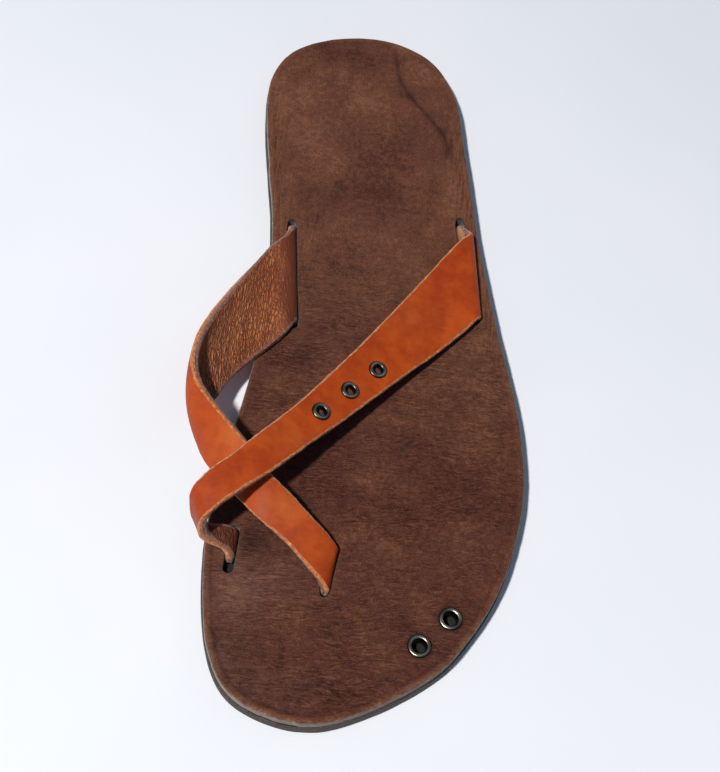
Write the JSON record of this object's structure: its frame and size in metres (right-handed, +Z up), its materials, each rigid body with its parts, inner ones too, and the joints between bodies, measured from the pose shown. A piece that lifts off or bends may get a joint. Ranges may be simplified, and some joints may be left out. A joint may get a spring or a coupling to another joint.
{
  "type": "toe post sandal",
  "caption": "Flat leather toe post sandal: a leather footbed on a thin rubber outsole, held on the foot by lined straps that cross over the instep.",
  "frame": {"origin": "on the floor plane, at the middle of the closed box around the sandal", "axes": "+Z up from the floor, +Y along the sole from toe to heel, +X towards the outer (little toe) side of the left foot"},
  "size_m": [0.1144, 0.275, 0.0303],
  "materials": {
    "footbed_leather": "brown pull-up leather, mottled and creased",
    "outsole_rubber": "matte",
    "strap_leather": "smooth orange tan face, raw cut edges, red brown lining",
    "eyelet_metal": "antique, darkened"
  },
  "bodies": {
    "root": {"outsole": "outsole_rubber", "footbed": "footbed_leather", "upper_straps": "strap_leather", "strap_eyelet_outer": "eyelet_metal", "strap_eyelet_middle": "eyelet_metal", "strap_eyelet_inner": "eyelet_metal", "sole_eyelet_front": "eyelet_metal", "sole_eyelet_rear": "eyelet_metal"}
  },
  "joints": []
}
